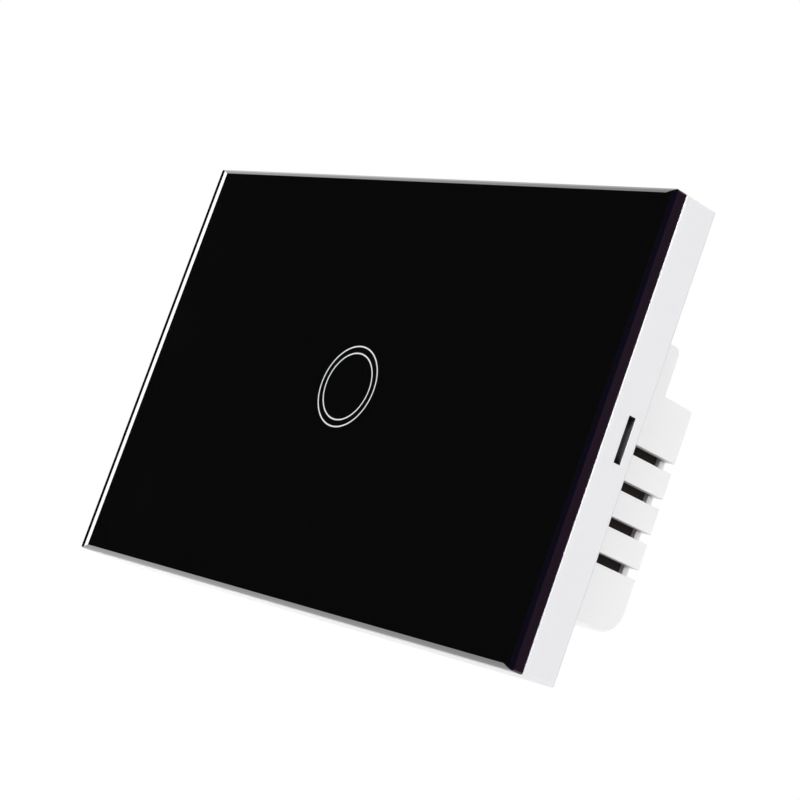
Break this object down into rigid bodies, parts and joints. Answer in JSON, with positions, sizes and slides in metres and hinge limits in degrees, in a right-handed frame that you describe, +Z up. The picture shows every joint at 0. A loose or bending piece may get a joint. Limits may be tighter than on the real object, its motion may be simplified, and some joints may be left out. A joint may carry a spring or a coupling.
{
  "type": "touch light switch",
  "caption": "Landscape wall-box touch light switch: bevelled black glass plate with a ring mark, white clip-fit frame, steel chassis and stepped vented housing with screw terminals.",
  "frame": {"origin": "centre of the plate in the plane that meets the wall (rear face of the chassis and rear edge of the frame)", "axes": "+X to the right seen from the front, +Y into the wall, +Z up; the glass faces -Y"},
  "size_m": [0.12, 0.0417, 0.075],
  "materials": {
    "black_glass": "polished, tinted black through",
    "ring_enamel": "white fired enamel",
    "white_plastic": "satin moulded white",
    "housing_plastic": "fine satin moulded white",
    "foam_tape": "foam tape",
    "milky_plastic": "translucent milky",
    "zinc_steel": "zinc plated",
    "spring_wire": "bright wire",
    "circuit_board": "green solder mask",
    "chip_black": "moulded black",
    "lamp_white": "white package",
    "pin_gold": "plated",
    "dark_board": "dark insulating board",
    "terminal_green": "moulded green",
    "bar_brass": "tinned brass",
    "cage_steel": "nickel plated",
    "relay_black": "moulded black",
    "relay_base_plastic": "moulded black",
    "bobbin_white": "moulded natural",
    "soft_iron": "plated soft iron",
    "copper": "enamelled copper",
    "can_black": "dark sleeve",
    "film_yellow": "moulded yellow",
    "varistor_blue": "dipped blue",
    "fuse_glass": "clear tube",
    "cap_nickel": "nickel plated",
    "ferrite": "dark ferrite"
  },
  "bodies": {
    "base": {"mounting_chassis": "zinc_steel", "rear_housing": "housing_plastic", "inner_cover": "white_plastic", "cover_screws": "zinc_steel", "chassis_screws": "zinc_steel", "touch_board": "circuit_board", "touch_spring": "spring_wire", "touch_chip": "chip_black", "status_leds": "lamp_white", "header_pins": "pin_gold", "header_plug": "chip_black", "header_socket": "chip_black", "board_spacers": "bobbin_white", "power_board": "circuit_board", "insulating_sleeve": "dark_board", "terminal_block": "terminal_green", "terminal_bars": "bar_brass", "relay_base": "relay_base_plastic", "relay_cover": "relay_black", "relay_yoke": "soft_iron", "relay_core": "soft_iron", "relay_bobbin": "bobbin_white", "relay_coil": "copper", "relay_fixed_contact": "bar_brass", "smoothing_capacitor": "can_black", "film_capacitor": "film_yellow", "varistor": "varistor_blue", "fuse_tube": "fuse_glass", "fuse_caps": "cap_nickel", "fuse_clips": "spring_wire", "inductor_core": "ferrite", "inductor_winding": "copper", "bridge_rectifier": "chip_black"},
    "front_panel": {"glass_panel": "black_glass", "ring_marks": "ring_enamel", "panel_frame": "white_plastic", "panel_tape": "foam_tape", "light_diffuser": "milky_plastic"},
    "screw_1": {"terminal_screw_1": "zinc_steel"},
    "cage_1": {"clamp_cage_1": "cage_steel"},
    "screw_2": {"terminal_screw_2": "zinc_steel"},
    "cage_2": {"clamp_cage_2": "cage_steel"},
    "screw_3": {"terminal_screw_3": "zinc_steel"},
    "cage_3": {"clamp_cage_3": "cage_steel"},
    "armature": {"relay_armature": "soft_iron", "relay_contact_arm": "spring_wire"}
  },
  "joints": [
    {"name": "panel_pull", "type": "slide", "parent": "base", "child": "front_panel", "axis": [0, -1, 0], "range_m": [0, 0.02]},
    {"name": "screw_turn_1", "type": "hinge", "parent": "base", "child": "screw_1", "pos_m": [-0.01, 0.0226, 0.01785], "axis": [0, -1, 0], "range_deg": [0, 1620]},
    {"name": "cage_rise_1", "type": "slide", "parent": "base", "child": "cage_1", "axis": [0, 1, 0], "range_m": [0, 0.00225]},
    {"name": "screw_turn_2", "type": "hinge", "parent": "base", "child": "screw_2", "pos_m": [0, 0.0226, 0.01785], "axis": [0, -1, 0], "range_deg": [0, 1620]},
    {"name": "cage_rise_2", "type": "slide", "parent": "base", "child": "cage_2", "axis": [0, 1, 0], "range_m": [0, 0.00225]},
    {"name": "screw_turn_3", "type": "hinge", "parent": "base", "child": "screw_3", "pos_m": [0.01, 0.0226, 0.01785], "axis": [0, -1, 0], "range_deg": [0, 1620]},
    {"name": "cage_rise_3", "type": "slide", "parent": "base", "child": "cage_3", "axis": [0, 1, 0], "range_m": [0, 0.00225]},
    {"name": "armature_rock", "type": "hinge", "parent": "base", "child": "armature", "pos_m": [-0.0139, 0.0232, -0.0011], "axis": [0, 0, 1], "range_deg": [0, 4.2], "stiffness_Nm_per_rad": 0.02}
  ],
  "couplings": [
    {"joint": "screw_turn_1", "follows": "cage_rise_1", "rad_per_m": 12566},
    {"joint": "screw_turn_2", "follows": "cage_rise_2", "rad_per_m": 12566},
    {"joint": "screw_turn_3", "follows": "cage_rise_3", "rad_per_m": 12566}
  ]
}
